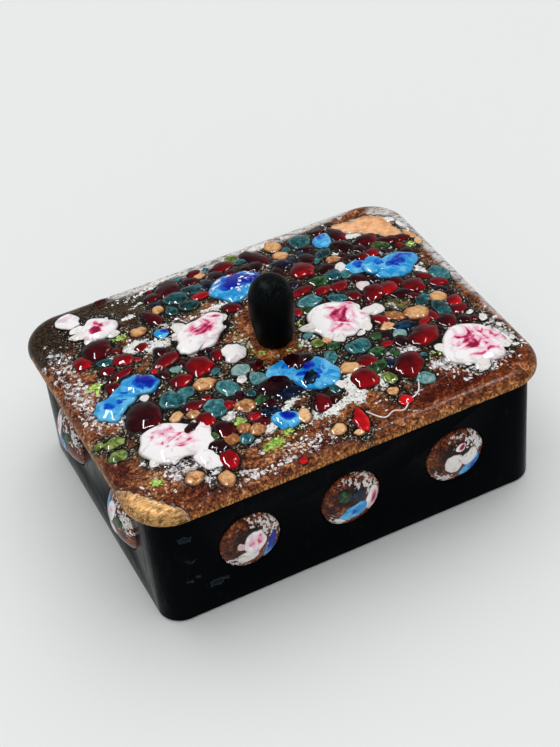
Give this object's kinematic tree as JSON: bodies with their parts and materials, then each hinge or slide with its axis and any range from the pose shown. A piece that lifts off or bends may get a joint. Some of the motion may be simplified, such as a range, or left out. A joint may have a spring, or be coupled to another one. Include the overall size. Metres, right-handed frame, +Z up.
{
  "type": "enamel box",
  "caption": "Small black lacquered rectangular box with domed enamel discs in its walls, and a lift-off enamelled copper lid covered in melted glass lumps, with a turned black knob.",
  "frame": {"origin": "under the middle of the box, on the surface that it stands on", "axes": "+X along the box's length, +Z up, and -Y towards the front, the long side that the picture shows"},
  "size_m": [0.1272, 0.0992, 0.0687],
  "materials": {
    "black_lacquer": "black high-gloss lacquer",
    "lid_enamel": "glossy glass enamel over copper, with fused coloured lumps",
    "disc_enamel": "glossy glass enamel, speckled brown, white and blue"
  },
  "bodies": {
    "root": {"box_body": "black_lacquer", "lid": "lid_enamel", "knob": "black_lacquer", "disc_front_1": "disc_enamel", "disc_front_2": "disc_enamel", "disc_front_3": "disc_enamel", "disc_back_1": "disc_enamel", "disc_back_2": "disc_enamel", "disc_back_3": "disc_enamel", "disc_left_1": "disc_enamel", "disc_left_2": "disc_enamel", "disc_right_1": "disc_enamel", "disc_right_2": "disc_enamel"}
  },
  "joints": []
}
